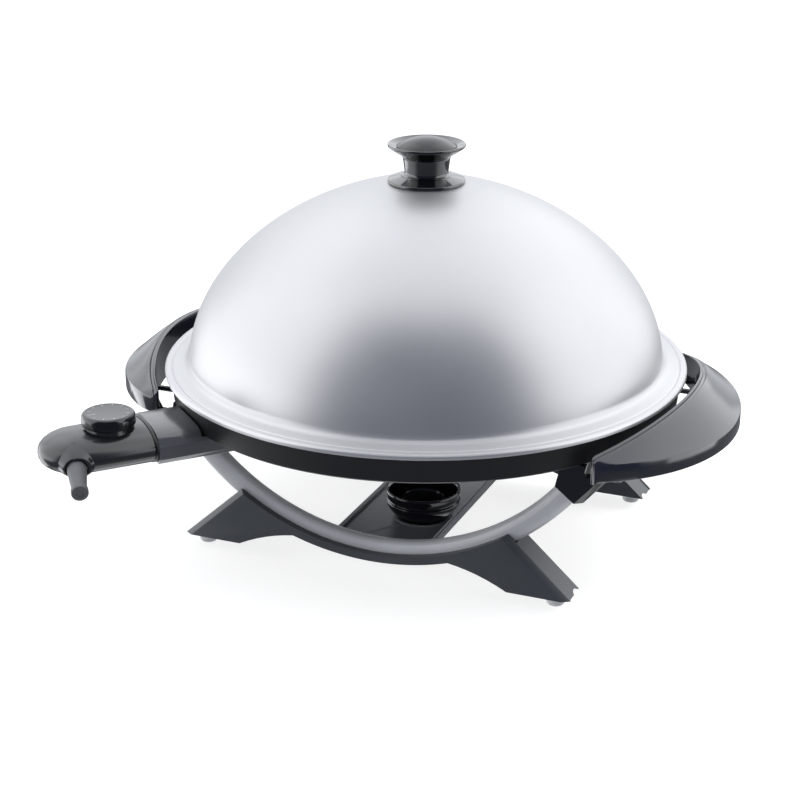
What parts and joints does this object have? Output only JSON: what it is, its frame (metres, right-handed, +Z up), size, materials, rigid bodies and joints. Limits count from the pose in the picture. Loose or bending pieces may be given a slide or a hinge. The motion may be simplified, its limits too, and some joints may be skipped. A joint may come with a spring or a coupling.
{
  "type": "electric indoor grill",
  "caption": "Round electric indoor grill with domed lift-off lid, ridged drain plate, curved tube stand, wing handles, drip cup and plug-in heat control.",
  "frame": {"origin": "on the table, under the middle of the whole grill with its heat control; the round plate's middle is 32.4 mm behind it", "axes": "+Z up, +X through the right-hand handle, -Y towards the front"},
  "size_m": [0.512, 0.4848, 0.3259],
  "materials": {
    "satin_tube": "satin silver-grey lacquer",
    "leg_plastic": "slate grey, fine satin grain",
    "tray_plastic": "dark grey, satin",
    "foot_rubber": "light grey, matt",
    "bracket_plastic": "black, satin",
    "handle_plastic": "dark grey, semi-gloss",
    "knob_plastic": "black, gloss",
    "coated_plate": "cast, black non-stick coating",
    "lid_steel": "satin silver",
    "element_steel": "heat-darkened sheath",
    "screw_steel": "plain, plated",
    "control_plastic": "dark grey, semi-gloss",
    "collar_plastic": "black, satin",
    "dial_plastic": "black side, grey top",
    "insulator": "brown phenolic",
    "contact_brass": "plain",
    "relief_rubber": "grey, matt"
  },
  "bodies": {
    "stand": {"front_arc_tube": "satin_tube", "rear_arc_tube": "satin_tube", "front_leg_frame": "leg_plastic", "rear_leg_frame": "leg_plastic", "front_leg_cover": "leg_plastic", "rear_leg_cover": "leg_plastic", "leg_cover_screws": "screw_steel", "cup_tray": "tray_plastic", "tray_screws": "screw_steel", "front_left_foot": "foot_rubber", "front_right_foot": "foot_rubber", "rear_left_foot": "foot_rubber", "rear_right_foot": "foot_rubber", "front_left_bracket": "bracket_plastic", "front_right_bracket": "bracket_plastic", "rear_left_bracket": "bracket_plastic", "rear_right_bracket": "bracket_plastic", "bracket_screws": "screw_steel", "left_handle": "handle_plastic", "right_handle": "handle_plastic", "handle_screws": "screw_steel"},
    "cup": {"drip_cup": "knob_plastic"},
    "plate": {"grill_plate": "coated_plate", "heating_element": "element_steel", "element_clips": "screw_steel", "probe_guard": "control_plastic", "guard_screws": "screw_steel"},
    "lid": {"lid_dome": "lid_steel", "lid_knob": "knob_plastic", "knob_cap": "knob_plastic", "knob_nut": "contact_brass", "lid_washer": "screw_steel", "lid_screw": "screw_steel"},
    "control": {"control_upper_shell": "control_plastic", "control_lower_shell": "control_plastic", "control_collar": "collar_plastic", "contact_block": "insulator", "contact_tubes": "contact_brass", "probe_rod": "element_steel", "thermostat": "insulator", "strain_relief": "relief_rubber", "cord_clamp": "insulator", "control_screws": "screw_steel"},
    "dial": {"control_dial": "dial_plastic", "dial_spindle": "screw_steel"}
  },
  "joints": [
    {"name": "cup_lift", "type": "slide", "parent": "stand", "child": "cup", "axis": [0, 0, 1], "range_m": [0, 0.03]},
    {"name": "plate_lift", "type": "slide", "parent": "stand", "child": "plate", "axis": [0, 0, 1], "range_m": [0, 0.06]},
    {"name": "lid_lift", "type": "slide", "parent": "plate", "child": "lid", "axis": [0, 0, 1], "range_m": [0, 0.12]},
    {"name": "control_pull", "type": "slide", "parent": "plate", "child": "control", "axis": [-0.6691, -0.7431, 0], "range_m": [0, 0.095]},
    {"name": "dial_turn", "type": "hinge", "parent": "control", "child": "dial", "pos_m": [-0.17866, -0.16604, 0.134], "axis": [0, 0, 1], "range_deg": [0, 270]}
  ]
}
